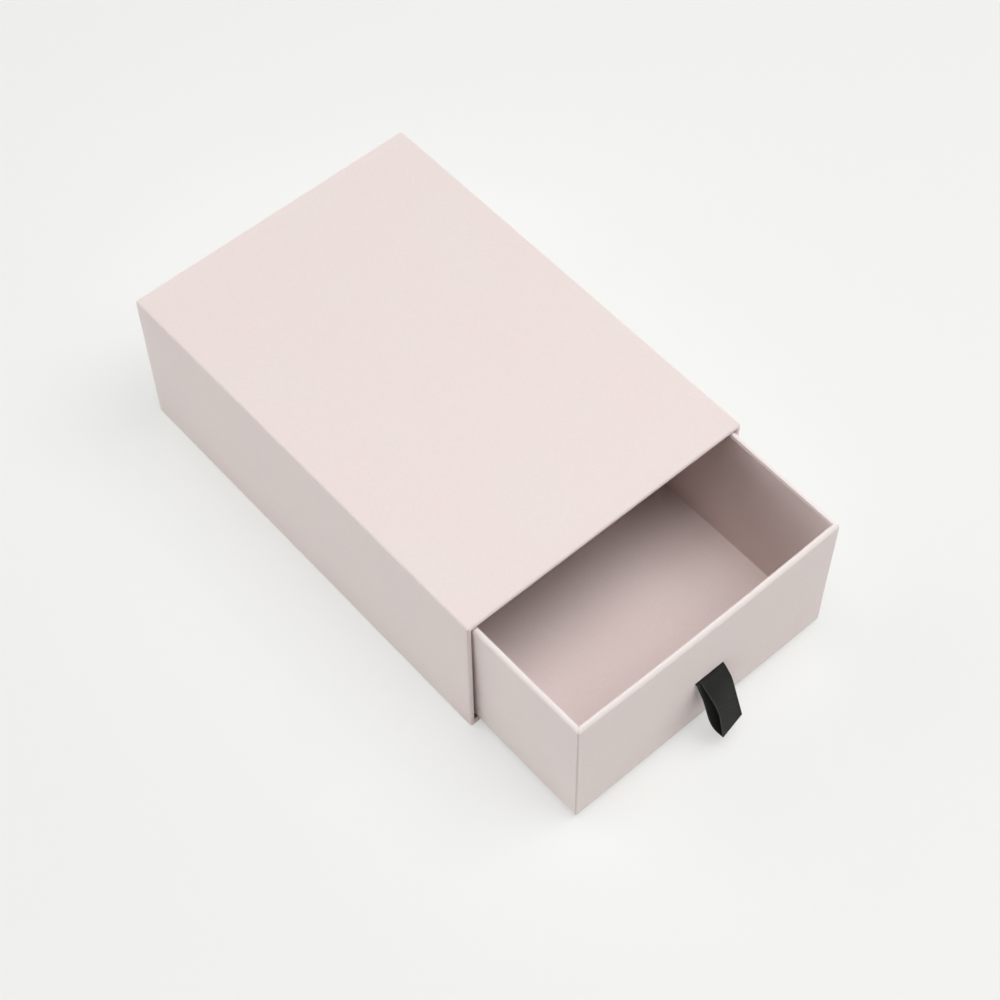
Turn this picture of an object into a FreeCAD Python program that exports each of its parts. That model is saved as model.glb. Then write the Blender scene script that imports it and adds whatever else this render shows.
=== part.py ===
import FreeCAD, Part
import math
import os
import re

import Sketcher

# Sliding drawer gift box of wrapped greyboard: a sleeve closed at the back, a tray-shaped drawer
# that slides in it, and a ribbon loop that pulls the drawer.
# Frame: millimetres, +Z up, origin in the middle of the sleeve's underside, mouth towards -Y.
# The drawer stands part open.

Vector = FreeCAD.Vector
Rotation = FreeCAD.Rotation
RIGHT, BACKWARD, UP = Vector(1, 0, 0), Vector(0, 1, 0), Vector(0, 0, 1)
CORNERS = 4

SIZES = {
    # Sleeve, outside
    "sleeve_width": 120.0,
    "sleeve_depth": 176.6,
    "sleeve_height": 64.0,
    # Sheet stock
    "sleeve_board": 1.5,
    "drawer_board": 1.5,
    "paper": 0.16,
    "lining": 0.16,
    "tape": 0.12,
    # Folds and rims
    "sleeve_corner": 0.8,
    "mouth_round": 0.8,
    "drawer_corner": 1.0,
    "rim_round": 1.2,
    "sleeve_base_round": 0.8,
    "drawer_base_round": 1.0,
    # Cover paper: how far it turns in over a rim and under a base, and how far a sheet stays back
    "turn_in": 15.0,
    "flap": 12.0,
    "sheet_margin": 1.0,
    "lining_drop": 1.0,
    # Drawer in the sleeve
    "side_clearance": 0.85,
    "floor_clearance": 0.4,
    "top_clearance": 0.7,
    "back_clearance": 0.6,
    "drawer_open": 48.4,
    # Corner stays
    "stay_leg": 12.0,
    "stay_drop": 2.0,
    # Ribbon pull
    "ribbon_width": 10.9,
    "ribbon_thickness": 0.3,
    "slit_play": 1.2,
    "slit_height": 1.0,
    "slit_rise": 27.3,
    "slit_offset": 1.0,
    "tail_length": 18.0,
    "patch_margin": 5.0,
    "loop_length": 26.2,
    "layer_gap": 0.04,
    "hinge_gap": 0.45,
    # Extra length of a cutting tool beyond what it cuts
    "overrun": 3.0,
}

# Sizes that follow from the ones above, written as formulas of their names
DERIVED = {
    "sleeve_wall": "paper + sleeve_board + paper + lining",
    "sleeve_floor": "paper + sleeve_wall",
    "drawer_wall": "paper + tape + drawer_board + paper + lining",
    "drawer_rise": "sleeve_floor + floor_clearance",
    "drawer_width": "sleeve_width - 2 * sleeve_wall - 2 * side_clearance",
    "drawer_length": "sleeve_depth - sleeve_wall - back_clearance",
    "drawer_height": "sleeve_height - sleeve_wall - top_clearance - drawer_rise",
    "drawer_front": "0 - sleeve_depth / 2 - drawer_open",
    "slit_width": "ribbon_width + 2 * slit_play",
    "slit_level": "drawer_rise + slit_rise",
}

# The loop as it droops, seen at its two edges. Each layer runs from the slit to the fold in three
# stretches: share of the loop's length, and turn in degrees (positive bends it down).
ROOT_SLOPE = 20.0
NOSE_SHARE = 0.9
LEFT_UPPER_SHARES = ((0.0589, 18.9), (0.4324, 15.5), (0.4934, 34.8))
LEFT_LOWER_SHARES = ((0.0639, 47.2), (0.7257, -3.2), (0.1731, -49.7))
RIGHT_UPPER_SHARES = ((0.0624, 26.0), (0.3718, 21.3), (0.4684, -3.2))
RIGHT_LOWER_SHARES = ((0.0644, 53.9), (0.6401, -15.5), (0.1926, -19.8))

doc = FreeCAD.newDocument("slide_box")
sheet = doc.addObject("Spreadsheet::Sheet", "Sizes")
for row, (alias, size) in enumerate(SIZES.items(), start=1):
    sheet.set(f"A{row}", alias)
    sheet.set(f"B{row}", str(size))
    sheet.setAlias(f"B{row}", alias)
doc.recompute()

nodes = []


def formula(text):
    """A sum of size names as an expression of the sheet's cells"""

    def cell(match):
        name = match.group()
        if name in DERIVED:
            return f"({formula(DERIVED[name])})"
        return f"Sizes.{name}"

    return re.sub(r"[a-z_]+", cell, text)


def value(text):
    return float(sheet.evalExpression(formula(text)))


def bind(item, **formulas):
    for name, text in formulas.items():
        item.setExpression(name, formula(text))


def keep(item, label):
    """Makes an object one of the box's pieces"""
    item.Label = label
    nodes.append(item)
    return item


class Seat:
    """Where a tray stands: upright, or laid on its long wall with its mouth towards -Y"""

    def __init__(self, x, y, z, laid=False):
        self.corner = (x, y, z)
        self.laid = laid
        self.turn = Rotation(RIGHT, 90) if laid else Rotation()

    def place(self, item, x="0", y="0", z="0", turn=Rotation()):
        item.Placement.Rotation = self.turn.multiply(turn)
        shift = (x, f"0 - ({z})", y) if self.laid else (x, y, z)
        for axis, start, step in zip("xyz", self.corner, shift):
            item.setExpression(f"Placement.Base.{axis}", formula(f"({start}) + ({step})"))
        return item


def facing(inward, along):
    """The turn of a piece whose own +Y is to point inward and whose own +Z is to point along"""
    return Rotation(inward.cross(along), inward, along, "YZX")


def box(name, seat, x, y, z):
    """A block between pairs of formulas on each axis of the tray"""
    block = doc.addObject("Part::Box", name)
    low, high = zip(x, y, z)
    sides = [f"({b}) - ({a})" for a, b in zip(low, high)]
    bind(block, Length=sides[0], Width=sides[1], Height=sides[2])
    return seat.place(block, *low)


def cut(name, base, tool):
    result = doc.addObject("Part::Cut", name)
    result.Base = base
    result.Tool = tool
    return result


def outline(body, name, role, points, rounds=None):
    """A closed sketch through points; rounds gives centre and radius of the edges that are arcs"""
    rounds = rounds or {}
    sketch = body.newObject("Sketcher::SketchObject", name)
    plane = next(item for item in body.Origin.OriginFeatures if item.Role == role)
    sketch.AttachmentSupport = (plane, [""])
    sketch.MapMode = "FlatFace"
    spots = [Vector(value(x), value(y), 0) for x, y in points]
    ends = []
    for index, start in enumerate(spots):
        stop = spots[(index + 1) % len(spots)]
        if index in rounds:
            x, y, radius = rounds[index]
            centre = Vector(value(x), value(y), 0)
            half_way = ((start + stop) / 2 - centre).normalize()
            edge = Part.Arc(start, centre + half_way * value(radius), stop)
        else:
            edge = Part.LineSegment(start, stop)
        sketch.addGeometry(edge, False)
        forward = sketch.getPoint(index, 1).distanceToPoint(start) < start.distanceToPoint(stop) / 2
        ends.append((1, 2) if forward else (2, 1))
    for index, (first, last) in enumerate(ends):
        following = (index + 1) % len(spots)
        join = Sketcher.Constraint("Coincident", index, last, following, ends[following][0])
        sketch.addConstraint(join)
    for index, (x, y) in enumerate(points):
        for kind, text in (("DistanceX", x), ("DistanceY", y)):
            size = Sketcher.Constraint(kind, -1, 1, index, ends[index][0], value(text))
            number = sketch.addConstraint(size)
            sketch.setExpression(f"Constraints[{number}]", formula(text))
    for index, (x, y, radius) in rounds.items():
        number = sketch.addConstraint(Sketcher.Constraint("Radius", index, value(radius)))
        sketch.setExpression(f"Constraints[{number}]", formula(radius))
    return sketch


def tray_boards(names, seat, wide, deep, tall, board, nose, base_nose, rim):
    """Base and four walls of one board, V-grooved and folded up, each with its own mitres

    The mitres close at the inside of a fold, and leave the noses open at its outside.
    """
    half = f"({wide}) / 2"
    middle = f"({deep}) / 2"
    walls = (
        ("front", facing(BACKWARD, UP), "0", "0", wide),
        ("back", facing(-BACKWARD, UP), "0", deep, wide),
        ("left", facing(RIGHT, UP), f"0 - {half}", middle, deep),
        ("right", facing(-RIGHT, UP), half, middle, deep),
    )
    for side, turn, x, y, across in walls:
        body = panel(names[side], across, tall, board, nose, base_nose, "0")
        ease_rim(body, names[side], rim)
        yield side, seat.place(body, x, y, "0", turn)
    base = panel(names["base"], wide, deep, board, base_nose, base_nose, board)
    yield "base", seat.place(base, "0", deep, "0", facing(UP, -BACKWARD))


def panel(name, across, along, board, nose, base_nose, far_mitre):
    """A board with its outer face on its own XZ plane, mitred at both sides and at the base fold"""
    body = doc.addObject("PartDesign::Body", name + "_panel")
    slab = body.newObject("PartDesign::AdditiveWedge", name + "_slab")
    side = f"({across}) / 2"
    far_nose = base_nose if far_mitre != "0" else "0"
    bind(slab, Xmin=f"({nose}) - {side}", Xmax=f"{side} - ({nose})", Ymin="0", Ymax=board)
    bind(slab, X2min=f"{board} - {side}", X2max=f"{side} - {board}")
    bind(slab, Zmin=base_nose, Zmax=f"({along}) - ({far_nose})")
    bind(slab, Z2min=board, Z2max=f"({along}) - {far_mitre}")
    return body


def ease_rim(body, name, size):
    """Takes off the outer edge of a wall's rim, where the cover paper goes round it"""
    doc.recompute()
    slab = body.Tip
    heights = [
        (edge.CenterOfMass.z - edge.CenterOfMass.y, number)
        for number, edge in enumerate(slab.Shape.Edges, start=1)
    ]
    easing = body.newObject("PartDesign::Chamfer", name + "_rim")
    easing.Base = (slab, [f"Edge{max(heights)[1]}"])
    bind(easing, Size=size)


def tray_wrap(name, seat, wide, deep, tall, wall, corner, rim, base):
    """One sheet round four walls, turned in over the rim and folded under the base"""
    body = doc.addObject("PartDesign::Body", name)
    half = f"({wide}) / 2 - {corner}"
    far = f"({deep}) - {corner}"
    path = [("0", corner), (half, corner), (half, far), (f"0 - ({half})", far)]
    path.append((f"0 - ({half})", corner))
    inner = f"({wall}) - paper"
    shoulder = f"({tall}) - {rim}"
    turned = f"({tall}) - turn_in"
    section = [
        ("0", base),
        ("0", shoulder),
        (rim, tall),
        (wall, tall),
        (wall, turned),
        (inner, turned),
        (inner, f"({tall}) - paper"),
        (rim, f"({tall}) - paper"),
        ("paper", shoulder),
        ("paper", base),
        (base, "paper"),
        ("flap", "paper"),
        ("flap", "0"),
        (base, "0"),
    ]
    rounds = {
        1: (rim, shoulder, rim),
        7: (rim, shoulder, f"{rim} - paper"),
        9: (base, base, f"{base} - paper"),
        13: (base, base, base),
    }
    walls = body.newObject("PartDesign::AdditivePipe", name + "_walls")
    walls.Profile = outline(body, name + "_section", "YZ_Plane", section, rounds)
    walls.Spine = outline(body, name + "_path", "XY_Plane", path)
    walls.Transition = "Round corner"
    return seat.place(body)


def tray_lining(name, seat, wide, deep, wall, floor, top):
    """Paper on the floor and the four walls, inside the turned-in cover"""
    half = f"({wide}) / 2 - ({wall})"
    outer = (
        (f"0 - ({half})", half),
        (wall, f"({deep}) - ({wall})"),
        (floor, top),
    )
    inner = (
        (f"lining - ({half})", f"({half}) - lining"),
        (f"({wall}) + lining", f"({deep}) - ({wall}) - lining"),
        (f"({floor}) + lining", f"({top}) + overrun"),
    )
    return cut(name, box(name + "_outside", seat, *outer), box(name + "_inside", seat, *inner))


def cover_sheet(name, seat, x, y, z):
    """A flat sheet that stays back from the edges of what it covers"""
    low, high = x
    near, far = y
    across = (f"{low} + sheet_margin", f"{high} - sheet_margin")
    along = (f"{near} + sheet_margin", f"{far} - sheet_margin")
    return keep(box(name, seat, across, along, z), name)


# Sleeve: a tray laid on its side. Its base is the box's back, and its rim is the mouth
sleeve_seat = Seat("0", "sleeve_depth / 2 - paper", "paper", laid=True)
sleeve_deep = "sleeve_height - paper"
sleeve_tall = "sleeve_depth - paper"
sleeve_names = {
    "front": "sleeve_bottom_board",
    "back": "sleeve_top_board",
    "left": "sleeve_left_board",
    "right": "sleeve_right_board",
    "base": "sleeve_back_board",
}
sleeve_board_seat = Seat("0", "sleeve_depth / 2 - 2 * paper", "2 * paper", laid=True)
sleeve_board_sizes = (
    "sleeve_width - 2 * paper",
    f"{sleeve_deep} - 2 * paper",
    f"{sleeve_tall} - 2 * paper",
)
for side, board in tray_boards(
    sleeve_names,
    sleeve_board_seat,
    *sleeve_board_sizes,
    "sleeve_board",
    "sleeve_corner - paper",
    "sleeve_base_round - paper",
    "mouth_round - paper",
):
    keep(board, sleeve_names[side])
sleeve_turned_wall = "sleeve_wall - lining"
sleeve_wrap = tray_wrap(
    "sleeve_wrap",
    sleeve_seat,
    "sleeve_width",
    sleeve_deep,
    sleeve_tall,
    sleeve_turned_wall,
    "sleeve_corner",
    "mouth_round",
    "sleeve_base_round",
)
keep(sleeve_wrap, "sleeve_wrap")
sleeve_lining = tray_lining(
    "sleeve_lining",
    sleeve_seat,
    "sleeve_width",
    sleeve_deep,
    sleeve_turned_wall,
    "paper + sleeve_board",
    f"{sleeve_tall} - lining_drop",
)
keep(sleeve_lining, "sleeve_lining")
upright = Seat("0", "0", "0")
sleeve_sides = ("0 - sleeve_width / 2", "sleeve_width / 2")
sleeve_ends = ("0 - sleeve_depth / 2", "sleeve_depth / 2 - paper")
cover_sheet("sleeve_base_sheet", upright, sleeve_sides, sleeve_ends, ("0", "paper"))
cover_sheet("sleeve_back_sheet", sleeve_seat, sleeve_sides, ("0", sleeve_deep), ("0 - paper", "0"))

# Drawer: an upright tray, its underside just clear of the sleeve's floor
drawer_seat = Seat("0", "drawer_front", "drawer_rise + paper")
drawer_tall = "drawer_height - paper"
drawer_names = {
    "front": "drawer_front_board",
    "back": "drawer_back_board",
    "left": "drawer_left_board",
    "right": "drawer_right_board",
    "base": "drawer_base_board",
}
drawer_board_seat = Seat("0", "drawer_front + paper + tape", "drawer_rise + 2 * paper")
drawer_board_sizes = (
    "drawer_width - 2 * paper - 2 * tape",
    "drawer_length - 2 * paper - 2 * tape",
    f"{drawer_tall} - 2 * paper",
)
slit_seat = Seat("slit_offset", "drawer_front", "slit_level")
slit = box(
    "ribbon_slit",
    slit_seat,
    ("0 - slit_width / 2", "slit_width / 2"),
    ("0 - overrun", "drawer_wall + overrun"),
    ("0 - slit_height / 2", "slit_height / 2"),
)
for side, board in tray_boards(
    drawer_names,
    drawer_board_seat,
    *drawer_board_sizes,
    "drawer_board",
    "drawer_corner - paper - tape",
    "drawer_base_round - paper",
    "rim_round - paper",
):
    if side == "front":
        board = cut("drawer_front_board_slit", board, slit)
    keep(board, drawer_names[side])
drawer_turned_wall = "drawer_wall - lining"
drawer_wrap = tray_wrap(
    "drawer_wrap_sheet",
    drawer_seat,
    "drawer_width",
    "drawer_length",
    drawer_tall,
    drawer_turned_wall,
    "drawer_corner",
    "rim_round",
    "drawer_base_round",
)
keep(cut("drawer_wrap_slit", drawer_wrap, slit), "drawer_wrap")
drawer_lining = tray_lining(
    "drawer_lining_sheet",
    drawer_seat,
    "drawer_width",
    "drawer_length",
    drawer_turned_wall,
    "paper + drawer_board",
    f"{drawer_tall} - lining_drop",
)
keep(cut("drawer_lining_slit", drawer_lining, slit), "drawer_lining")
drawer_sides = ("0 - drawer_width / 2", "drawer_width / 2")
drawer_ends = ("0", "drawer_length")
cover_sheet("drawer_base_sheet", drawer_seat, drawer_sides, drawer_ends, ("0 - paper", "0"))


def corner_stay(number):
    """Paper tape folded round the outside of one upright corner, under the cover paper"""
    name = f"drawer_corner_stay_{number + 1}"
    body = doc.addObject("PartDesign::Body", name + "_tape")
    round_centre = "drawer_corner - paper"
    inner_round = f"{round_centre} - tape"
    points = [
        ("stay_leg", "0"),
        ("stay_leg", "tape"),
        (round_centre, "tape"),
        ("tape", round_centre),
        ("tape", "stay_leg"),
        ("0", "stay_leg"),
        ("0", round_centre),
        (round_centre, "0"),
    ]
    rounds = {
        2: (round_centre, round_centre, inner_round),
        6: (round_centre, round_centre, round_centre),
    }
    pad = body.newObject("PartDesign::Pad", name + "_pad")
    pad.Profile = outline(body, name + "_outline", "XY_Plane", points, rounds)
    bind(pad, Length=f"{drawer_tall} - 2 * stay_drop")
    half = "drawer_width / 2 - paper"
    x = f"0 - ({half})" if number in (0, 3) else half
    y = "paper" if number < CORNERS / 2 else "drawer_length - paper"
    drawer_seat.place(body, x, y, "stay_drop", Rotation(UP, 360 / CORNERS * number))
    keep(body, name)


for number in range(CORNERS):
    corner_stay(number)


def ribbon_tails():
    """Two layers pressed together in the slit, and spread up and down behind the front wall"""
    body = doc.addObject("PartDesign::Body", "ribbon_tails_strip")
    layer = "ribbon_thickness"
    behind = "drawer_wall + ribbon_thickness"
    points = [
        ("0", f"0 - {layer}"),
        ("drawer_wall", f"0 - {layer}"),
        ("drawer_wall", "0 - tail_length"),
        (behind, "0 - tail_length"),
        (behind, "tail_length"),
        ("drawer_wall", "tail_length"),
        ("drawer_wall", layer),
        ("0", layer),
    ]
    pad = body.newObject("PartDesign::Pad", "ribbon_tails_pad")
    pad.Profile = outline(body, "ribbon_tails_outline", "YZ_Plane", points)
    pad.Midplane = True
    bind(pad, Length="ribbon_width")
    slit_seat.place(body)
    keep(body, "ribbon_tails")


ribbon_tails()
patch_half = "ribbon_width / 2 + patch_margin"
patch_rise = "tail_length + patch_margin"
ribbon_patch = box(
    "ribbon_patch",
    slit_seat,
    (f"0 - ({patch_half})", patch_half),
    ("drawer_wall + ribbon_thickness", "drawer_wall + ribbon_thickness + paper"),
    (f"0 - ({patch_rise})", patch_rise),
)
keep(ribbon_patch, "ribbon_patch")


def layer_edges(shares, level, side, x):
    """The outer and the inner face of one layer at one edge of the loop, from slit to fold

    side is -1 for the upper layer, whose outer face is above, and 1 for the lower one.
    """
    spot = Vector(x, 0, -level)
    slope = math.radians(ROOT_SLOPE)
    half = value("ribbon_thickness") / 2
    faces = ([], [])
    for share, turn in shares:
        length = share * value("loop_length")
        bend = math.radians(turn)
        chord = length / bend * 2
        marks = []
        for part in (0, 0.5, 1):
            swept = bend * part
            reach = chord * math.sin(swept / 2)
            heading = slope + swept / 2
            centre = spot + Vector(0, -math.cos(heading), -math.sin(heading)) * reach
            outward = Vector(0, -math.sin(slope + swept), math.cos(slope + swept)) * -side
            marks.append((centre, outward))
        for face, sign in zip(faces, (1, -1)):
            face.append([centre + outward * (half * sign) for centre, outward in marks])
        spot = marks[-1][0]
        slope += bend
    return faces


def nose(start, stop, ahead):
    """The fold's arc, a little flatter than a half circle"""
    top = (start + stop) / 2 + ahead * (start.distanceToPoint(stop) / 2 * NOSE_SHARE)
    return [start, top, stop]


def loop_section(upper, lower, x):
    """The whole band seen at one edge of the ribbon: a hairpin of two layers"""
    level = (value("ribbon_thickness") + value("layer_gap")) / 2
    above, above_inside = layer_edges(upper, -level, -1, x)
    below, below_inside = layer_edges(lower, level, 1, x)
    ahead = (above[-1][2] - above[-1][1] + below[-1][2] - below[-1][1]).normalize()
    arcs = list(above)
    arcs.append(nose(above[-1][2], below[-1][2], ahead))
    arcs += [list(reversed(arc)) for arc in reversed(below)]
    arcs.append([below[0][0], below_inside[0][0]])
    arcs += below_inside
    arcs.append(nose(below_inside[-1][2], above_inside[-1][2], ahead))
    arcs += [list(reversed(arc)) for arc in reversed(above_inside)]
    arcs.append([above_inside[0][0], above[0][0]])
    edges = [(Part.Arc(*arc) if len(arc) == 3 else Part.LineSegment(*arc)).toShape() for arc in arcs]
    return Part.Wire(edges)


# Ribbon: the loop hangs from the slit, with its left side opened wider than its right
edge = value("ribbon_width") / 2
left = loop_section(LEFT_UPPER_SHARES, LEFT_LOWER_SHARES, -edge)
right = loop_section(RIGHT_UPPER_SHARES, RIGHT_LOWER_SHARES, edge)
loop = doc.addObject("Part::Feature", "ribbon_loop_band")
loop.Shape = Part.makeLoft([left, right], True, True)
loop.Placement.Base = Vector(
    value("slit_offset"), value("drawer_front - hinge_gap"), value("slit_level")
)
keep(loop, "ribbon_loop")

doc.recompute()
failed = [item.Label for item in doc.Objects if {"Invalid", "Error"} & set(item.State)]
if failed:
    raise RuntimeError(f"features that failed: {failed}")
for item in nodes:
    if item.Shape.isNull() or not item.Shape.isValid() or not item.Shape.Solids:
        raise RuntimeError(f"{item.Label} has no valid solid")

os.makedirs("parts", exist_ok=True)
for item in nodes:
    item.Shape.exportStep(f"parts/{item.Label}.step")
    print(item.Label, "solids", len(item.Shape.Solids), "volume", round(item.Shape.Volume, 2))
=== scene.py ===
from math import cos, radians, sin

import bmesh
import bpy
from mathutils import Matrix, Vector, noise


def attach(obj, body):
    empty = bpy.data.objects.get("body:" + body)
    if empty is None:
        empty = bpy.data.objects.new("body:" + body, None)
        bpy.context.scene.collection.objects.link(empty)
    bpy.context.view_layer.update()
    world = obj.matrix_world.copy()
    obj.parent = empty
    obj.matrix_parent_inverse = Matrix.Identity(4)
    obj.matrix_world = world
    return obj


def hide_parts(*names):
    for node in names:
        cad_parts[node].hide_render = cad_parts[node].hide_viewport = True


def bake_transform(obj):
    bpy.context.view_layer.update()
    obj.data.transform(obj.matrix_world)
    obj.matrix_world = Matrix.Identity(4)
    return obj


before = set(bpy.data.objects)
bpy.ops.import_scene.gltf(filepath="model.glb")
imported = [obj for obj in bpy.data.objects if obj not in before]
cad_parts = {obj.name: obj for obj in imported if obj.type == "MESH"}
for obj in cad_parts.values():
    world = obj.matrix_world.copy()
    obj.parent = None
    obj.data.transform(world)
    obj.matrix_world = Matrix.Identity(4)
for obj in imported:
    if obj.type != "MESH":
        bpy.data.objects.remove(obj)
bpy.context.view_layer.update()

# Studio. The box stands on a wide sheet of matt white card, seen from above its front left corner.
# Three soft boxes hang over it, to the right of its front and behind its left side, and a pale
# room stands round it, darker on the camera's side.
camera = bpy.data.objects.new("camera", bpy.data.cameras.new("camera"))
camera.data.sensor_width = 36
camera.data.lens = 79.05
camera.location = (-0.27646, -0.35836, 0.65694)
camera.rotation_euler = [radians(angle) for angle in (33.667, 0.475, -41.205)]
bpy.context.collection.objects.link(camera)
bpy.context.scene.camera = camera
bpy.context.scene.view_settings.view_transform = "Standard"


def hang_lamp(name, place, size, power):
    """An oblong soft box at a place, turned towards the middle of the box."""
    lamp = bpy.data.lights.new(name, "AREA")
    lamp.shape, lamp.energy = "RECTANGLE", power
    lamp.size, lamp.size_y = size
    holder = bpy.data.objects.new(name, lamp)
    holder.location = place
    way = Vector((0, -0.06, 0.03)) - Vector(place)
    holder.rotation_euler = way.to_track_quat("-Z", "Y").to_euler()
    bpy.context.collection.objects.link(holder)


hang_lamp("top_lamp", (-0.1, -0.24, 1.6), (0.9, 0.9), 11.2)
hang_lamp("right_lamp", (0.52, -0.53, 1.27), (0.9, 0.65), 7.2)
hang_lamp("left_lamp", (-0.92, 1.11, 1.37), (1.3, 1.5), 7.2)


def shade(tree, kind, feeds=None, **switches):
    """Adds one node of a finish. feeds gives its sockets a number or another node's output."""
    step = tree.nodes.new("ShaderNode" + kind)
    for name, switch in switches.items():
        setattr(step, name, switch)
    for socket, feed in (feeds or {}).items():
        if isinstance(feed, bpy.types.NodeSocket):
            tree.links.new(feed, step.inputs[socket])
        else:
            step.inputs[socket].default_value = feed
    return step


def between(tree, share, low, high, first, last):
    """Turns a share between low and high into a number between first and last."""
    ends = {"Value": share, "From Min": low, "From Max": high, "To Min": first, "To Max": last}
    return shade(tree, "MapRange", ends).outputs[0]


def blend_colours(tree, share, first, last):
    """A colour between two, at that share."""
    return shade(tree, "Mix", {0: share, 6: first, 7: last}, data_type="RGBA").outputs[2]


def seen_directly(tree):
    """1 where the camera sees a thing, also in gloss or through glass, 0 where it only lights."""
    ray = shade(tree, "LightPath").outputs
    two = {0: ray["Is Camera Ray"], 1: ray["Is Glossy Ray"]}
    either = shade(tree, "Math", two, operation="ADD").outputs[0]
    all_three = {0: either, 1: ray["Is Transmission Ray"]}
    return shade(tree, "Math", all_three, operation="ADD", use_clamp=True).outputs[0]


room = bpy.data.worlds.new("room")
bpy.context.scene.world = room
room.use_nodes = True
walls = room.node_tree
ROOM_LOW = (1.86, 2.03, 2.05, 1)
ROOM_NEAR = (0.1, 0.1, 0.1, 1)
ROOM_HIGH = (0.03, 0.03, 0.03, 1)
ROOM_SEEN = (0.915, 0.917, 0.898, 1)
heading = shade(walls, "TexCoord").outputs["Generated"]
height = shade(walls, "SeparateXYZ", {0: heading}).outputs["Z"]
to_camera = {0: heading, 1: (-0.57, -0.82, 0)}
facing = shade(walls, "VectorMath", to_camera, operation="DOT_PRODUCT").outputs["Value"]
low = blend_colours(walls, between(walls, facing, 0.15, 0.75, 0, 1), ROOM_LOW, ROOM_NEAR)
filled = blend_colours(walls, between(walls, height, 0.25, 0.45, 0, 1), low, ROOM_HIGH)
shown = blend_colours(walls, seen_directly(walls), filled, ROOM_SEEN)
walls.links.new(shown, walls.nodes["Background"].inputs["Color"])
walls.nodes["Background"].inputs["Strength"].default_value = 1

card = bpy.data.meshes.new("card")
CARD_REACH = 4.0
corners = [(-CARD_REACH, -CARD_REACH, 0), (CARD_REACH, -CARD_REACH, 0)]
corners += [(CARD_REACH, CARD_REACH, 0), (-CARD_REACH, CARD_REACH, 0)]
card.from_pydata(corners, [], [(0, 1, 2, 3)])
floor = bpy.data.objects.new("card", card)
bpy.context.collection.objects.link(floor)
white_card = bpy.data.materials.new("white_card")
white_card.use_nodes = True
tree = white_card.node_tree
CARD_WHITE = (0.955, 0.97, 0.96, 1)
CARD_SEEN = (0.915, 0.917, 0.898, 1)
CARD_LIFT = 0.5
surface = tree.nodes["Principled BSDF"]
surface.inputs["Base Color"].default_value = CARD_WHITE
surface.inputs["Roughness"].default_value = 0.9
surface.inputs["Specular IOR Level"].default_value = 0.0
backdrop = shade(tree, "Emission", {"Color": CARD_SEEN, "Strength": 1.0})
shadowed = shade(tree, "BsdfDiffuse", {"Color": CARD_SEEN})
lifted = shade(tree, "MixShader", {0: CARD_LIFT, 1: shadowed.outputs[0], 2: backdrop.outputs[0]})
looked_at = {0: seen_directly(tree), 1: surface.outputs[0], 2: lifted.outputs[0]}
shown = shade(tree, "MixShader", looked_at).outputs[0]
tree.links.new(shown, tree.nodes["Material Output"].inputs["Surface"])
card.materials.append(white_card)

# Sleeve boards: five panels of greyboard, a board of pulped waste paper, V-grooved at the folds and
# bent up into a box that is open at one end. The paper drawn over their edges at the mouth presses
# them round. Cover paper and lining hide them. Sizes are in millimetres; MM turns them into metres.
MM = 0.001
PAPER, BOARD = 0.16, 1.5
SLEEVE_WIDE, SLEEVE_DEEP, SLEEVE_TALL = 120.0, 176.6, 64.0
SLEEVE_WALL = PAPER + BOARD + PAPER
SLEEVE_CORNER = 0.8
# How round the covered wall is at the mouth, on its outside and its inside
MOUTH, MOUTH_LIP = 1.0, 0.8
# How far two walls stay apart at a mitre, and how many steps a wall has along its length
MITRE_GAP, PANEL_STEPS = 0.02, 16
GREYBOARD = (0.28, 0.265, 0.24, 1)
GREYBOARD_FLECK = (0.17, 0.155, 0.14, 1)


def start_finish(name):
    """A new material with its node tree and its surface shader."""
    finish = bpy.data.materials.new(name)
    finish.use_nodes = True
    return finish, finish.node_tree, finish.node_tree.nodes["Principled BSDF"]


def speckle(tree, size, detail, stretch=(1, 1, 1)):
    """Noise whose lumps are about that many millimetres across, from 0 to 1."""
    spot = shade(tree, "TexCoord").outputs["Object"]
    if stretch != (1, 1, 1):
        spot = shade(tree, "Mapping", {"Vector": spot, "Scale": stretch}).outputs[0]
    lumps = {"Vector": spot, "Scale": 1 / (size * MM), "Detail": detail}
    return shade(tree, "TexNoise", lumps).outputs["Fac"]


def raise_surface(tree, surface, height, depth):
    """Gives the surface a relief that is depth millimetres deep."""
    relief = shade(tree, "Bump", {"Height": height, "Distance": depth * MM, "Strength": 1.0})
    tree.links.new(relief.outputs[0], surface.inputs["Normal"])


greyboard, tree, surface = start_finish("greyboard")
flecks = between(tree, speckle(tree, 0.8, 6), 0.55, 0.7, 0, 1)
flecked = blend_colours(tree, flecks, GREYBOARD, GREYBOARD_FLECK)
tree.links.new(flecked, surface.inputs["Base Color"])
surface.inputs["Roughness"].default_value = 0.95
raise_surface(tree, surface, speckle(tree, 0.3, 4), 0.05)


def arc(centre, radius, start, stop, steps):
    """Points on an arc, as how far in from the wall's face and how high, without its two ends."""
    angles = [radians(start + (stop - start) * k / steps) for k in range(1, steps)]
    return [(centre[0] + radius * cos(a), centre[1] + radius * sin(a)) for a in angles]


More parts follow.
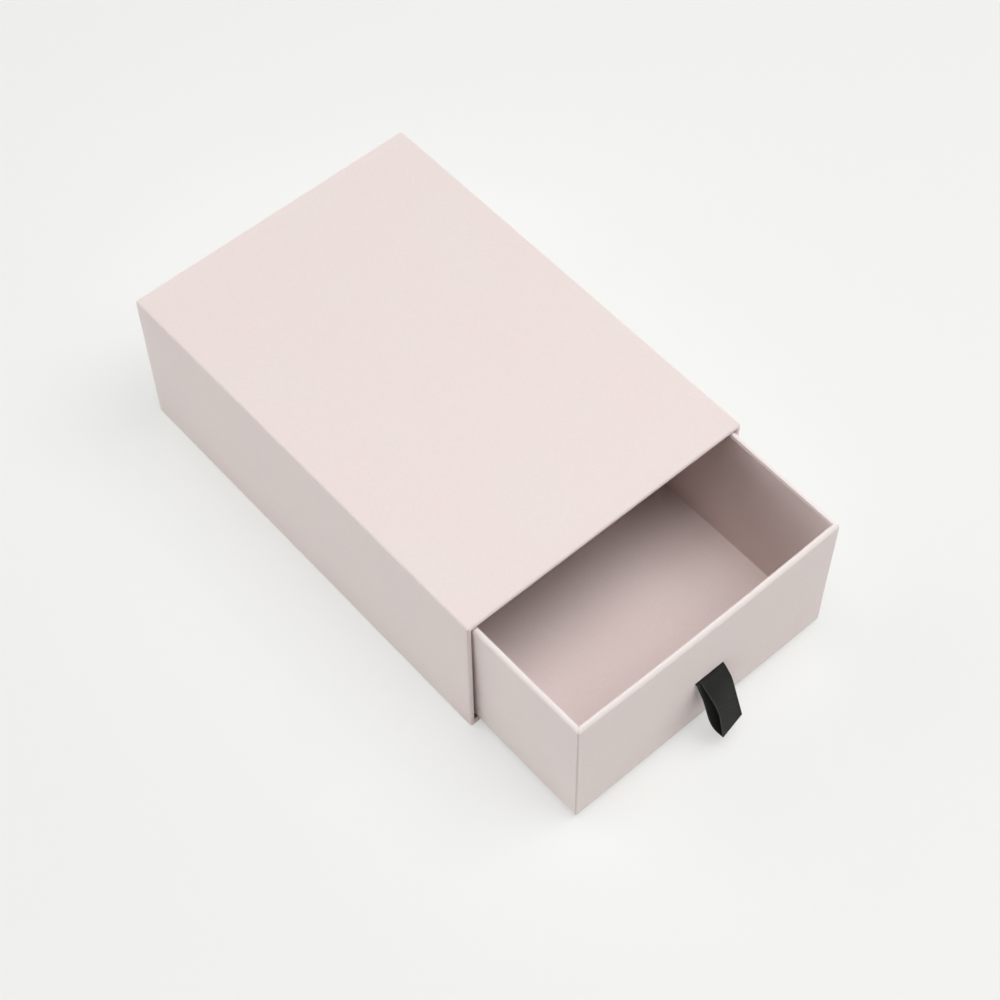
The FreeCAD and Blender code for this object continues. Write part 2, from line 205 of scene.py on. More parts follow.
def tray_plan(wide, deep, rounds):
    """Finds places round a tray's four walls, each as a function of the depth in from the face.

    The walls run front, right, back, left. Deeper than a corner's round, two walls meet on a mitre.
    """
    starts = [(-wide / 2, 0), (wide / 2, 0), (wide / 2, deep), (-wide / 2, deep)]
    ways = [Vector(way) for way in ((1, 0), (0, 1), (-1, 0), (0, -1))]
    lengths = [wide, deep, wide, deep]

    def on_wall(side, share, gap=0.0):
        """At a share of the run between two corners, from gap past one to gap before the other."""

        def spot(depth):
            low = max(depth, rounds[side]) + gap
            high = lengths[side] - max(depth, rounds[(side + 1) % 4]) - gap
            inward = ways[(side + 1) % 4]
            return Vector(starts[side]) + ways[side] * (low + (high - low) * share) + inward * depth

        return spot

    def on_corner(side, angle):
        """On the corner at a wall's start, turned that far from the wall before it."""

        def spot(depth):
            size = max(rounds[side], depth)
            way, before, turn = ways[side], ways[side - 1], radians(angle)
            outward = before * sin(turn) - way * cos(turn)
            return Vector(starts[side]) + (way - before) * size + outward * (size - depth)

        return spot

    return on_wall, on_corner


# noise_vector starts from the clock unless it is given a seed, and every run has to be the same
noise.seed_set(1)
# How much the sleeve's walls waver, and the drawer's, which stand freer
SLEEVE_WAVER, DRAWER_WAVER = 0.03, 0.05


def waver(spot, sway):
    """How far hand work leaves boards and papers from dead straight at a place, over the foot."""
    slow = noise.noise_vector(spot * 0.045)
    quick = noise.noise_vector(spot * 0.19 + Vector((7, 3, 1)))
    free = min(1, max(0, spot.z - 1.5))
    return (slow + quick * 0.5) * sway * free


def sleeve_sway(spot):
    """The sleeve's walls stay flat but for a slight waver, which boards and papers share."""
    return waver(spot, SLEEVE_WAVER)


def fold_sheet(section, columns, closed, give):
    """Folds a sheet from its section and its columns. give says how far each place stands off."""
    sheet = bmesh.new()
    folded = sheet.verts.layers.float.new("fold")
    grid = []
    for column in columns:
        row = []
        for depth, height, fold in section:
            flat = column(depth)
            spot = Vector((flat.x, flat.y, height))
            point = sheet.verts.new(spot + give(spot))
            point[folded] = fold
            row.append(point)
        grid.append(row)
    count = len(section)
    for number in range(len(grid) if closed else len(grid) - 1):
        here, there = grid[number], grid[(number + 1) % len(grid)]
        for k in range(count):
            sheet.faces.new((here[k], there[k], there[(k + 1) % count], here[(k + 1) % count]))
    if not closed:
        sheet.faces.new(grid[0])
        sheet.faces.new(list(reversed(grid[-1])))
    bmesh.ops.remove_doubles(sheet, verts=sheet.verts, dist=0.004)
    bmesh.ops.dissolve_degenerate(sheet, edges=sheet.edges, dist=0.002)
    bmesh.ops.recalc_face_normals(sheet, faces=sheet.faces)
    return sheet


def settle(name, shape, lay, smooth, finish):
    """Stands a finished shape in its place, smooth but for edges over that many degrees."""
    bmesh.ops.transform(shape, matrix=lay, verts=shape.verts)
    mesh = bpy.data.meshes.new(name)
    shape.to_mesh(mesh)
    shape.free()
    for face in mesh.polygons:
        face.use_smooth = True
    mesh.set_sharp_from_angle(angle=radians(smooth))
    mesh.materials.append(finish)
    piece = bpy.data.objects.new(name, mesh)
    bpy.context.collection.objects.link(piece)
    return piece


def take_place(piece, body, slot, *nodes):
    """The piece moves with a body and stands for its CAD nodes, which it hides. slot is not used.
    """
    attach(piece, body)
    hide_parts(*nodes)


def board_section(depth, tall, outer, inner, nose):
    """A wall board cut through, its face lying that far under the cover paper's.

    Its top is rounded outside and inside. Its foot is mitred against the floor board, and the
    mitre's sharp tip is cut off up to the height of the nose.
    """
    far = depth + BOARD
    levels = [nose + (tall - outer - nose) * share / 9 for share in range(10)]
    face = [(depth, z, 0) for z in levels]
    face += [(d, z, 0) for d, z in arc((depth + outer, levels[-1]), outer, 180, 90, 5)]
    top = [(depth + outer, tall, 0), (far - inner, tall, 0)]
    top += [(d, z, 0) for d, z in arc((far - inner, tall - inner), inner, 90, 0, 4)]
    back = [(far, z, 0) for z in reversed(levels[1:])]
    mitre = [(far, PAPER + BOARD, 0), (far - (PAPER + BOARD - nose), nose, 0)]
    return face + top + back + mitre


def cut_panel(section, plan, side, give):
    """One wall board of a tray, a hair short of the mitres at its two ends."""
    on_wall, _ = plan
    shares = [step / PANEL_STEPS for step in range(PANEL_STEPS + 1)]
    return fold_sheet(section, [on_wall(side, share, MITRE_GAP) for share in shares], False, give)


# The sleeve is folded standing on its back, then laid down with its mouth forward
back_plane = SLEEVE_DEEP / 2 - PAPER
laid_down = Matrix(((1, 0, 0, 0), (0, 0, -1, back_plane), (0, 1, 0, PAPER), (0, 0, 0, 1)))
lay_sleeve = Matrix.Scale(MM, 4) @ laid_down
sleeve_plan = tray_plan(SLEEVE_WIDE, SLEEVE_TALL - PAPER, [SLEEVE_CORNER] * 4)
under_cover = (SLEEVE_DEEP - 2 * PAPER, MOUTH - PAPER, MOUTH_LIP - PAPER)
section = board_section(PAPER, *under_cover, SLEEVE_CORNER)
for number, side in enumerate(("bottom", "right", "top", "left")):
    panel = cut_panel(section, sleeve_plan, number, sleeve_sway)
    board = settle(f"sleeve_{side}_panel", panel, lay_sleeve, 30, greyboard)
    take_place(board, "sleeve", "greyboard", f"sleeve_{side}_board")
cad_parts["sleeve_back_board"].material_slots[0].material = greyboard

# Sleeve cover: one sheet of matt blush paper glued round the sleeve's four walls. It is turned in
# over the mouth's edge and folded down on the back as flaps.
BLUSH = (0.845, 0.737, 0.707, 1)
BLUSH_PINK = (0.850, 0.724, 0.702, 1)
# The colour of paper that is stretched to the full over a fold, paled further as a painted
# highlight, and how near to that it is at the mouth
STRETCHED_HIGHLIGHT = (0.90, 0.815, 0.79, 1)
MOUTH_STRAIN_HIGHLIGHT = 0.3
# How far the cover goes in over the open edge, and how far its flaps reach at the closed end
TURN_IN, FLAP = 15, 12


def paper_finish(name, plain, pinker, tone_and_shade=1.0):
    """Matt dyed paper: clouded a little in its colour, with a fine tooth, and paler at a fold,
    partly from stretching and partly as a painted highlight.
    """
    finish, tree, surface = start_finish(name)
    clouds = between(tree, speckle(tree, 28, 2), 0.35, 0.65, 0, 1)
    # tone_and_shade scales the whole colour; the sleeve's lining uses it for painted shade
    pulp = between(tree, speckle(tree, 0.7, 4), 0.3, 0.7, 0.975 * tone_and_shade, 1.015 * tone_and_shade)
    dyed = blend_colours(tree, clouds, plain, pinker)
    mottled = shade(tree, "VectorMath", {0: dyed, "Scale": pulp}, operation="SCALE").outputs[0]
    # Paler at folds: partly stretched paper, partly a painted highlight
    fold = shade(tree, "Attribute", attribute_name="fold").outputs["Fac"]
    tree.links.new(blend_colours(tree, fold, mottled, STRETCHED_HIGHLIGHT), surface.inputs["Base Color"])
    rough = between(tree, speckle(tree, 1.1, 3), 0.3, 0.7, 0.62, 0.74)
    tree.links.new(rough, surface.inputs["Roughness"])
    surface.inputs["Specular IOR Level"].default_value = 0.35
    raise_surface(tree, surface, speckle(tree, 0.28, 4), 0.012)
    return finish


cover_paper = paper_finish("cover_paper", BLUSH, BLUSH_PINK)


def cover_section(wall, tall, rim, lip, base, strain_highlight):
    """The cover sheet cut through one wall: up its face, over the rim, down inside, and back.

    Each row is how far in from the face, how high, and how much the paper is paled there, partly by
    stretching and partly as a painted highlight, which is strain_highlight at most.
    """
    shoulder = tall - rim
    levels = [base + (shoulder - base) * share for share in (0, 0.03, 0.2, 0.4, 0.6, 0.8, 0.97, 1)]
    face = [(0, z, 0) for z in levels]
    over = [(d, z, 0.4 + d / rim * 0.6) for d, z in arc((rim, shoulder), rim, 180, 90, 7)]
    inner_edge = (wall - lip, tall - lip)
    top = [(rim, tall, 1), (wall - lip, tall, 1)]
    top += [(d, z, 0.8) for d, z in arc(inner_edge, lip, 90, 0, 4)]
    inside = [(wall, tall - lip, 0.4)]
    inside += [(wall, tall - lip - (TURN_IN - lip) * share, 0) for share in (0.1, 0.5, 1)]
    under = [(wall - PAPER, tall - TURN_IN, 0), (wall - PAPER, tall - lip, 0)]
    under += [(d, z, 0) for d, z in arc(inner_edge, lip - PAPER, 0, 90, 4)]
    back = [(wall - lip, tall - PAPER, 0), (rim, tall - PAPER, 0)]
    back += [(d, z, 0) for d, z in arc((rim, shoulder), rim - PAPER, 90, 180, 7)]
    back += [(PAPER, z, 0) for z in reversed(levels)]
    heel = [(d, z, 0) for d, z in arc((base, base), base - PAPER, 180, 270, 5)]
    foot = [(base, PAPER, 0), (FLAP, PAPER, 0), (FLAP, 0, 0), (base, 0, 0)]
    toe = [(d, z, 0.5) for d, z in arc((base, base), base, 270, 180, 5)]
    loop = face + over + top + inside + under + back + heel + foot + toe
    return [(depth, height, fold * strain_highlight) for depth, height, fold in loop]


# Where columns stand: near a corner's end, in how many steps along a wall, and round a corner
NEAR = (0, 0.12, 0.35, 1.2)
WALL_STEPS = 24
TURNS = (22.5, 45, 67.5)


def all_round(plan, seam=None):
    """Columns right round a tray, crowded near its corners.

    seam gives where, in degrees round the first corner, a sheet with two ends starts and stops.
    """
    on_wall, on_corner = plan
    columns = []
    for side in range(4):
        turns = [seam[0], *[t for t in TURNS if t > seam[0]]] if seam and not side else TURNS
        columns += [on_corner(side, turn) for turn in turns]
        columns += [on_wall(side, 0, gap) for gap in NEAR]
        shares = [step / WALL_STEPS for step in range(1, WALL_STEPS)]
        columns += [on_wall(side, share, NEAR[-1]) for share in shares]
        columns += [on_wall(side, 1, gap) for gap in reversed(NEAR)]
    if seam:
        columns += [on_corner(0, seam[1] * share) for share in (0.5, 1)]
    return columns


mouth = (SLEEVE_DEEP - PAPER, MOUTH, MOUTH_LIP)
section = cover_section(SLEEVE_WALL, *mouth, SLEEVE_CORNER, MOUTH_STRAIN_HIGHLIGHT)
sheet = fold_sheet(section, all_round(sleeve_plan), True, sleeve_sway)
sleeve_cover = settle("sleeve_cover", sheet, lay_sleeve, 32, cover_paper)
take_place(sleeve_cover, "sleeve", "cover_paper", "sleeve_wrap")

# Sleeve's back and base sheets: two oblongs of blush paper that hide the folded flaps on the back
# and the join underneath. The back one is pressed down past the flaps, so their edge shows through.
# How far a pasted sheet stops short of the box's edges
MARGIN = 1.0
# How deep a pasted sheet sinks past the flaps' edge, and half the width of that step
SINK, SLOPE = 0.11, 1.2
# How much of its room a pasted sheet leaves free on each side, which it wavers within
SLACK = 0.02


def paste_sheet(wide, deep, step=None):
    """A sheet lying in its own XY plane, facing up. It sinks step millimetres in from its edge."""
    sheet = bmesh.new()

    def marks(length):
        near = [0, 0.5, 4]
        if step:
            near += [step - SLOPE, step - SLOPE / 3, step + SLOPE / 3, step + SLOPE]
        middle = [near[-1] + (length - 2 * near[-1]) * share / 12 for share in range(1, 12)]
        return near + middle + [length - mark for mark in reversed(near)]

    rows = []
    for y in marks(deep):
        row = []
        for x in marks(wide):
            edge = min(x, wide - x, y, deep - y)
            sunk = min(1, max(0, (edge - step + SLOPE) / (2 * SLOPE))) if step else 0
            lift = noise.noise(Vector((x, y, 5)) * 0.05) * SLACK * min(1, edge / 4)
            height = PAPER - SLACK + lift - SINK * sunk
            row.append(sheet.verts.new((x - wide / 2, y - deep / 2, height)))
        rows.append(row)
    for here, there in zip(rows, rows[1:]):
        for k in range(len(here) - 1):
            sheet.faces.new((here[k], here[k + 1], there[k + 1], there[k]))
    bmesh.ops.recalc_face_normals(sheet, faces=sheet.faces)
    bmesh.ops.solidify(sheet, geom=sheet.faces, thickness=PAPER - 2 * SLACK)
    return sheet


def facing_down(x, y, z):
    """Turns a pasted sheet over and carries it to a place."""
    return Matrix.Translation((x, y, z)) @ Matrix.Rotation(radians(180), 4, "X")


back_size = (SLEEVE_WIDE - 2 * MARGIN, SLEEVE_TALL - PAPER - 2 * MARGIN)
sheet = paste_sheet(*back_size, FLAP - MARGIN)
over_flaps = lay_sleeve @ facing_down(0, (SLEEVE_TALL - PAPER) / 2, 0)
back_sheet = settle("sleeve_back_paper", sheet, over_flaps, 32, cover_paper)
take_place(back_sheet, "sleeve", "cover_paper", "sleeve_back_sheet")
sheet = paste_sheet(SLEEVE_WIDE - 2 * MARGIN, SLEEVE_DEEP - PAPER - 2 * MARGIN)
under_sleeve = Matrix.Scale(MM, 4) @ facing_down(0, -PAPER / 2, PAPER)
base_sheet = settle("sleeve_base_paper", sheet, under_sleeve, 32, cover_paper)
take_place(base_sheet, "sleeve", "cover_paper", "sleeve_base_sheet")

# Sleeve lining: paper glued inside the sleeve over the turned-in cover, rounded a little where it
# bridges the inside corners. Little light reaches it, and its colour is also darkened to under a
# third as painted shade.
LINING = 0.16
# How far behind the mouth the lining stops, and how round it is in the inside corners
BEHIND_MOUTH, SLEEVE_BRIDGE = 1.0, 0.8
LINING_PINK = (0.845, 0.722, 0.692, 1)
LINING_DUSK = (0.850, 0.710, 0.686, 1)
# Painted shade: the lining's colour is scaled down for the dark inside of the sleeve
SLEEVE_PAINTED_SHADE = 0.3


def line_tray(wide, deep, wall, floor, top, corner, give):
    """Lining paper on the floor and four walls of a tray, its inner corners bridged by a round."""
    sheet = bmesh.new()
    inner = (wide - 2 * (wall + LINING), deep - 2 * (wall + LINING), top - floor - LINING)
    middle = Matrix.Translation((0, deep / 2, floor + LINING + inner[2] / 2))
    bmesh.ops.create_cube(sheet, size=1, matrix=middle @ Matrix.Diagonal((*inner, 1)))
    mouth = max(sheet.faces, key=lambda face: face.calc_center_median().z)
    bmesh.ops.delete(sheet, geom=[mouth], context="FACES_ONLY")
    bmesh.ops.subdivide_edges(sheet, edges=sheet.edges, cuts=15, use_grid_fill=True)
    folds = [edge for edge in sheet.edges if not edge.is_boundary and edge.calc_face_angle() > 1]
    bmesh.ops.bevel(sheet, geom=folds, offset=corner, segments=5, profile=0.5, affect="EDGES")
    bmesh.ops.recalc_face_normals(sheet, faces=sheet.faces)
    bmesh.ops.solidify(sheet, geom=sheet.faces, thickness=LINING)
    for point in sheet.verts:
        point.co += give(point.co)
    return sheet


shaded_sleeve_paper = paper_finish("sleeve_lining_painted_shade", LINING_PINK, LINING_DUSK, SLEEVE_PAINTED_SHADE)
lined_deep = SLEEVE_DEEP - PAPER - BEHIND_MOUTH
lined = (SLEEVE_WIDE, SLEEVE_TALL - PAPER, SLEEVE_WALL, PAPER + BOARD, lined_deep)
sheet = line_tray(*lined, SLEEVE_BRIDGE, sleeve_sway)
sleeve_lining = settle("sleeve_lining_sheet", sheet, lay_sleeve, 32, shaded_sleeve_paper)
take_place(sleeve_lining, "sleeve", "lining_paper", "sleeve_lining")

# Drawer boards: a base and four walls of the same greyboard, bent up into a tray. The base is cut a
# little scant, and the walls spring back from their V-grooves and lean out and belly above it.
DRAWER_WIDE, DRAWER_DEEP, DRAWER_TALL = 114.34, 174.02, 58.62
TAPE = 0.12
DRAWER_WALL = PAPER + TAPE + BOARD + PAPER
DRAWER_CORNER = 1.0
# How round the covered wall is at the rim, on its outside and its inside
RIM, RIM_LIP = 1.2, 0.4
# How far the drawer stands out of the mouth, and how high its underside is
PULLED_OUT, DRAWER_LOW = 48.4, 2.7
# How far the foot of each side is drawn in, the rim leans out, and its sides and ends belly between
# the corners. The back end does so less.
PINCH, LEAN, SIDE_BOW, END_BOW, BACK_SHARE = 0.4, 0.2, 0.45, 0.6, 0.3
drawer_front = -(SLEEVE_DEEP / 2 + PULLED_OUT)
lay_drawer = Matrix.Scale(MM, 4) @ Matrix.Translation((0, drawer_front, DRAWER_LOW))


def spring(spot):
    """How far the drawer's walls stand off their true planes at a place, measured in the tray."""
    rise = max(0, spot.z / DRAWER_TALL) ** 1.3
    across, back = spot.x / (DRAWER_WIDE / 2), 2 * spot.y / DRAWER_DEEP - 1
    side = ((PINCH + LEAN + SIDE_BOW * (1 - back**2)) * rise - PINCH) * across
    end = (LEAN + END_BOW * (1 - across**2)) * back * rise * (1 if back < 0 else BACK_SHARE)
    return Vector((side, end, 0)) + waver(spot, DRAWER_WAVER)


SLIT_ACROSS, SLIT_UP = (-5.45, 7.65), (27.04, 27.94)
# Every face of the front wall lies less than this far behind its plane
FRONT_WALL = 4


def cut_slit(sheet):
    """Cuts the ribbon's slit through a front wall, and closes its sides between the two skins."""

    def misses(places, reach):
        return max(places) < reach[0] + 0.001 or min(places) > reach[1] - 0.001

    def near_slit(face):
        across, back, up = zip(*(point.co for point in face.verts))
        return not (misses(across, SLIT_ACROSS) or misses(up, SLIT_UP) or max(back) > FRONT_WALL)

    cuts = [((x, 0, 0), (1, 0, 0)) for x in SLIT_ACROSS] + [((0, 0, z), (0, 0, 1)) for z in SLIT_UP]
    for spot, way in cuts:
        faces = [face for face in sheet.faces if near_slit(face)]
        edges = {edge for face in faces for edge in face.edges}
        points = {point for face in faces for point in face.verts}
        struck = [*faces, *edges, *points]
        bmesh.ops.bisect_plane(sheet, geom=struck, plane_co=spot, plane_no=way, dist=0.0001)
    window = [face for face in sheet.faces if near_slit(face)]
    bmesh.ops.delete(sheet, geom=window, context="FACES")
    sides = [edge for edge in sheet.edges if edge.is_boundary]
    bmesh.ops.bridge_loops(sheet, edges=sides)
    bmesh.ops.recalc_face_normals(sheet, faces=sheet.faces)
    return sheet


drawer_plan = tray_plan(DRAWER_WIDE, DRAWER_DEEP, [DRAWER_CORNER] * 4)
under_cover = (DRAWER_TALL - PAPER, RIM - PAPER, RIM_LIP - PAPER)
section = board_section(PAPER + TAPE, *under_cover, DRAWER_CORNER)
for number, side in enumerate(("front", "right", "back", "left")):
    panel = cut_panel(section, drawer_plan, number, spring)
    if side == "front":
        cut_slit(panel)
    wall = settle(f"drawer_{side}_panel", panel, lay_drawer, 30, greyboard)
    take_place(wall, "drawer", "greyboard", f"drawer_{side}_board")
# The base board's edge: how far in from the walls' faces and how high, up its blunt foot and mitre
edge = ((1.2, PAPER), (1.16, DRAWER_CORNER), (DRAWER_WALL - PAPER + 0.04, PAPER + BOARD))
panel = bmesh.new()
for depth, height in edge:
    for x in (depth - DRAWER_WIDE / 2, DRAWER_WIDE / 2 - depth):
        for y in (depth, DRAWER_DEEP - depth):
            spot = Vector((x, y, height))
            panel.verts.new(spot + spring(spot))
bmesh.ops.convex_hull(panel, input=panel.verts)
base = settle("drawer_base_panel", panel, lay_drawer, 30, greyboard)
take_place(base, "drawer", "greyboard", "drawer_base_board")

# Corner stays: gummed kraft tape, wetted and pressed round each upright corner of the tray, so that
# the folded board can't open. The cover paper hides it.
KRAFT = (0.47, 0.33, 0.19, 1)
KRAFT_FIBRE = (0.36, 0.24, 0.13, 1)
# How far a stay reaches from its corner, and how far short of rim and foot it stops
STAY_LEG, STAY_SHORT = 12.0, 2.0
HAIR = 0.01
kraft_tape, tree, surface = start_finish("kraft_tape")
fibres = speckle(tree, 0.5, 5, (1, 1, 0.15))
tree.links.new(blend_colours(tree, fibres, KRAFT, KRAFT_FIBRE), surface.inputs["Base Color"])
surface.inputs["Roughness"].default_value = 0.7
raise_surface(tree, surface, fibres, 0.02)
levels = [STAY_SHORT + (DRAWER_TALL - 2 * STAY_SHORT) * share / 9 for share in range(10)]
section = [(PAPER + HAIR, z, 0) for z in levels]
section += [(PAPER + TAPE - HAIR, z, 0) for z in reversed(levels)]
on_wall, on_corner = drawer_plan
steps = [0, 0.35, 1.2, 3, 6, 9, STAY_LEG - DRAWER_CORNER]
for corner in range(4):
    columns = [on_wall(corner - 1, 1, gap) for gap in reversed(steps)]
    columns += [on_corner(corner, turn) for turn in TURNS]
    columns += [on_wall(corner, 0, gap) for gap in steps]
    sheet = fold_sheet(section, columns, False, spring)
    stay = settle(f"corner_stay_{corner + 1}", sheet, lay_drawer, 30, kraft_tape)
    take_place(stay, "drawer", "stay_tape", f"drawer_corner_stay_{corner + 1}")

# Drawer cover: a second blush sheet round the tray's walls, turned in over the rim and under the
# base, which a loose sheet hides. Its two ends meet in a fine seam at the front left corner.
# Where the sheet starts and ends, in degrees round that corner, and how round the corner is
SEAM, SEAM_CORNER = (22.5, 18), 0.6
# How far the rim pales towards the stretched colour: partly stretching, partly a painted highlight
RIM_STRAIN_HIGHLIGHT = 1.0
section = cover_section(DRAWER_WALL, DRAWER_TALL, RIM, RIM_LIP, DRAWER_CORNER, RIM_STRAIN_HIGHLIGHT)
cover_plan = tray_plan(DRAWER_WIDE, DRAWER_DEEP, [SEAM_CORNER] + [DRAWER_CORNER] * 3)
columns = all_round(cover_plan, SEAM)
sheet = cut_slit(fold_sheet(section, columns, False, spring))
drawer_cover = settle("drawer_cover", sheet, lay_drawer, 32, cover_paper)
take_place(drawer_cover, "drawer", "cover_paper", "drawer_wrap")
under_size = (DRAWER_WIDE - 2 * (MARGIN + PINCH), DRAWER_DEEP - 2 * MARGIN)
sheet = paste_sheet(*under_size, FLAP - MARGIN)
under_drawer = lay_drawer @ facing_down(0, DRAWER_DEEP / 2, 0)
base_sheet = settle("drawer_base_paper", sheet, under_drawer, 32, cover_paper)
take_place(base_sheet, "drawer", "cover_paper", "drawer_base_sheet")

# Drawer lining: blush paper, a little pinker, glued on the tray's floor and walls and slit for the
# ribbon. Its edge lies just under the rim, over the turned-in cover.
UNDER_RIM, DRAWER_BRIDGE = 0.6, 0.5
DRAWER_TONE = 0.98
lining_paper = paper_finish("lining_paper", LINING_PINK, LINING_DUSK, DRAWER_TONE)
lined = (DRAWER_WIDE, DRAWER_DEEP, DRAWER_WALL, PAPER + BOARD, DRAWER_TALL - UNDER_RIM)
sheet = cut_slit(line_tray(*lined, DRAWER_BRIDGE, spring))
drawer_lining = settle("drawer_lining_sheet", sheet, lay_drawer, 32, lining_paper)
take_place(drawer_lining, "drawer", "lining_paper", "drawer_lining")

# Ribbon pull: one length of narrow black ribbon, doubled into a loop. Its ends go through the slit
# and are glued up and down behind the front wall; the doubled part droops and opens at its left.
RIBBON_WIDTH, RIBBON_THICK = 10.9, 0.3
TAIL = 18.0
INK_BLACK = (0.013, 0.013, 0.012, 1)
INK_THREAD = (0.036, 0.036, 0.033, 1)
# The left edge's colour: closer-woven selvedge threads with a painted highlight
INK_SELVEDGE_HIGHLIGHT = (0.055, 0.055, 0.050, 1)


def along(points, steps):
    """A smooth line through given points, with that many steps from one to the next."""
    spots = [Vector(point) for point in points]
    spots = [spots[0] * 2 - spots[1], *spots, spots[-1] * 2 - spots[-2]]
    line = []
    for a, b, c, d in zip(spots, spots[1:], spots[2:], spots[3:]):
        for k in range(steps):
            t = k / steps
            pull = (b * 2 + (c - a) * t + (a * 2 - b * 5 + c * 4 - d) * t**2) / 2
            line.append(pull + (b * 3 - a - c * 3 + d) * t**3 / 2)
    line.append(spots[-2])
    return line


def held_by_wall(spot):
    """Carries the ribbon's root with the sprung front wall, and less and less of it outside."""
    share = min(1, max(0, (spot.y - drawer_front + 3) / 3))
    return spot + spring(spot - Vector((0, drawer_front, DRAWER_LOW))) * share


behind, level = drawer_front + 2.25, 30.19


def edge_line(upper, lower, loop):
    """One edge of the ribbon: down its upper tail and out, round the loop, back in and down.

    upper and lower are how far to the right its two tails lie.
    """
    root = [(behind, TAIL), (behind, 9), (behind, 1.0), (behind - 0.5, 0.2)]
    root.append((drawer_front + 0.6, 0.17))
    out = [(upper, y, level + rise) for y, rise in root]
    back = [(lower, y, level - rise) for y, rise in reversed(root)]
    return along(out + loop + back, 5)


left_edge = edge_line(
    -3.6,
    -5.2,
    [
        (-3.5, drawer_front - 0.7, level - 0.3),
        (-3.2, -139.2, 27.6),
        (-3.0, -142.0, 25.2),
        (-2.8, -144.6, 22.3),
        (-2.8, -146.5, 19.4),
        (-3.1, -147.9, 16.2),
        (-3.3, -149.0, 12.8),
        (-3.3, -149.8, 9.5),
        (-2.9, -149.65, 8.7),
        (-2.95, -149.15, 8.55),
        (-3.6, -147.0, 9.75),
        (-4.0, -145.4, 11.4),
        (-4.3, -144.0, 14.0),
        (-4.4, -142.7, 17.2),
        (-4.4, -141.4, 20.5),
        (-4.4, -139.9, 23.6),
        (-4.7, -138.3, 26.6),
        (-5.1, drawer_front - 0.7, level - 0.85),
    ],
)
right_edge = edge_line(
    7.3,
    5.7,
    [
        (7.4, drawer_front - 0.7, level - 0.2),
        (7.65, -139.0, 28.0),
        (7.9, -140.9, 25.2),
        (7.9, -142.5, 21.8),
        (7.7, -144.1, 18.5),
        (7.5, -145.7, 15.4),
        (7.4, -147.0, 12.5),
        (7.35, -147.95, 10.3),
        (7.3, -148.0, 9.75),
        (7.3, -147.65, 9.6),
        (7.2, -146.6, 10.9),
        (7.0, -145.6, 12.2),
        (6.8, -144.3, 14.2),
        (6.6, -142.8, 17.2),
        (6.4, -141.3, 20.4),
        (6.2, -139.8, 23.8),
        (6.0, -138.2, 27.0),
        (5.8, drawer_front - 0.7, level - 0.75),
    ],
)
# Across the ribbon: how far from its left edge, and half its thickness there. A bead of closer
# woven threads runs along each edge.
across = [(0, 0.25), (0.008, 0.75), (0.02, 1.1), (0.04, 1.1)]
across += [(0.055, 0.85), (0.2, 0.85), (0.35, 0.88), (0.5, 0.9)]
across += [(1 - share, height) for share, height in reversed(across[:-1])]


def weave_band(lefts, rights):
    """The ribbon between its two edges, with its own measure along and across for the weave."""
    band = bmesh.new()
    threads = band.verts.layers.float_vector.new("threads")
    run = 0
    middles = [(a + b) / 2 for a, b in zip(lefts, rights)]
    rows = []
    for number, (left, right) in enumerate(zip(lefts, rights)):
        run += (middles[number] - middles[number - 1]).length if number else 0
        ahead = middles[min(number + 1, len(middles) - 1)] - middles[max(number - 1, 0)]
        outward = (right - left).cross(ahead).normalized()
        row = []
        for side in (1, -1):
            for share, height in across if side == 1 else reversed(across):
                spot = left.lerp(right, share) + outward * (side * height * RIBBON_THICK / 2)
                point = band.verts.new(held_by_wall(spot))
                point[threads] = (share * RIBBON_WIDTH, run, side)
                row.append(point)
        rows.append(row)
    for here, there in zip(rows, rows[1:]):
        for k in range(len(here)):
            k_next = (k + 1) % len(here)
            band.faces.new((here[k], there[k], there[k_next], here[k_next]))
    band.faces.new(rows[0])
    band.faces.new(list(reversed(rows[-1])))
    bmesh.ops.recalc_face_normals(band, faces=band.faces)
    return band, run


woven, tree, surface = start_finish("black_ribbon")
measure = shade(tree, "Attribute", attribute_name="threads").outputs["Vector"]
pitch = shade(tree, "Mapping", {"Vector": measure, "Scale": (1 / 0.3, 1 / 0.24, 0)}).outputs[0]
warp = shade(tree, "TexWave", {"Vector": pitch, "Scale": 1.0}, bands_direction="X").outputs["Fac"]
weft = shade(tree, "TexWave", {"Vector": pitch, "Scale": 1.0}, bands_direction="Y").outputs["Fac"]
squares = shade(tree, "TexChecker", {"Vector": pitch, "Scale": 1.0}).outputs["Fac"]
threads = shade(tree, "Mix", {0: squares, 2: warp, 3: weft}, data_type="FLOAT").outputs[0]
lint = speckle(tree, 1.5, 4)
sheen = shade(tree, "Math", {0: threads, 1: lint}, operation="MULTIPLY").outputs[0]
woven_black = blend_colours(tree, sheen, INK_BLACK, INK_THREAD)
# Paler along its left edge only: partly the selvedge, partly a painted highlight
from_left = shade(tree, "SeparateXYZ", {0: measure}).outputs["X"]
selvedge_highlight = between(tree, from_left, 0.2, 0.55, 1, 0)
edge_highlit = blend_colours(tree, selvedge_highlight, woven_black, INK_SELVEDGE_HIGHLIGHT)
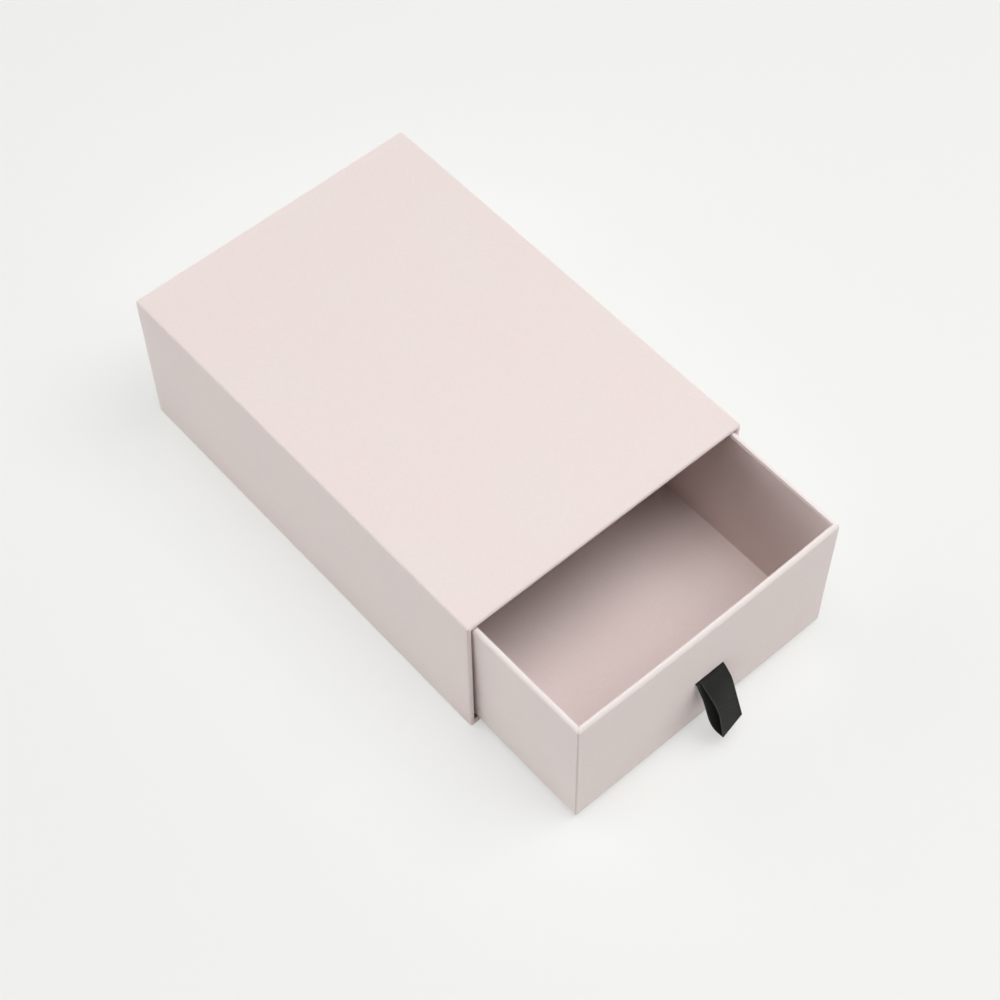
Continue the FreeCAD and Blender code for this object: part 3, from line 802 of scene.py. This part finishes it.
tree.links.new(edge_highlit, surface.inputs["Base Color"])
surface.inputs["Roughness"].default_value = 0.7
surface.inputs["Specular IOR Level"].default_value = 0.2
surface.inputs["Sheen Weight"].default_value = 0.03
surface.inputs["Sheen Roughness"].default_value = 0.4
raise_surface(tree, surface, threads, 0.05)
band, ribbon_length = weave_band(left_edge, right_edge)
ribbon = settle("ribbon_pull", band, Matrix.Scale(MM, 4), 50, woven)
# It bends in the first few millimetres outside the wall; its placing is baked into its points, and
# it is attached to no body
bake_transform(ribbon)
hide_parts("ribbon_loop", "ribbon_tails")

# Ribbon patch: a slip of lining paper glued over the ribbon's ends behind the front wall. It stands
# off the lining by the ribbon's thickness and comes down to it at its margins.
PATCH_ACROSS, PATCH_UP = (-9.45, 11.45), (4.14, 50.14)
TAILS_ACROSS, TAILS_UP = (-5.3, 7.4), (9.14, 45.14)
# How high the tails lift the slip, and how far beyond them it comes down again
TAILS_LIFT, TAILS_SLOPE = 0.32, 2.0


def over_tails(spot):
    """The patch goes with the sprung wall, and is lifted where the ribbon's ends lie under it."""
    x_room = min(spot.x - TAILS_ACROSS[0], TAILS_ACROSS[1] - spot.x)
    z_room = min(spot.z - TAILS_UP[0], TAILS_UP[1] - spot.z)
    share = min(1, max(0, 1 + min(x_room, z_room) / TAILS_SLOPE))
    return spring(spot) + Vector((0, TAILS_LIFT * share**2 * (3 - 2 * share), 0))


seat = DRAWER_WALL + LINING + HAIR
levels = [PATCH_UP[0] + (PATCH_UP[1] - PATCH_UP[0]) * share / 46 for share in range(47)]
section = [(seat, z, 0) for z in levels]
section += [(seat + PAPER - 2 * HAIR, z, 0) for z in reversed(levels)]
places = [PATCH_ACROSS[0] + (PATCH_ACROSS[1] - PATCH_ACROSS[0]) * share / 22 for share in range(23)]
columns = [lambda depth, x=x: Vector((x, depth)) for x in places]
sheet = fold_sheet(section, columns, False, over_tails)
patch = settle("ribbon_patch_slip", sheet, lay_drawer, 40, lining_paper)
take_place(patch, "drawer", "lining_paper", "ribbon_patch")
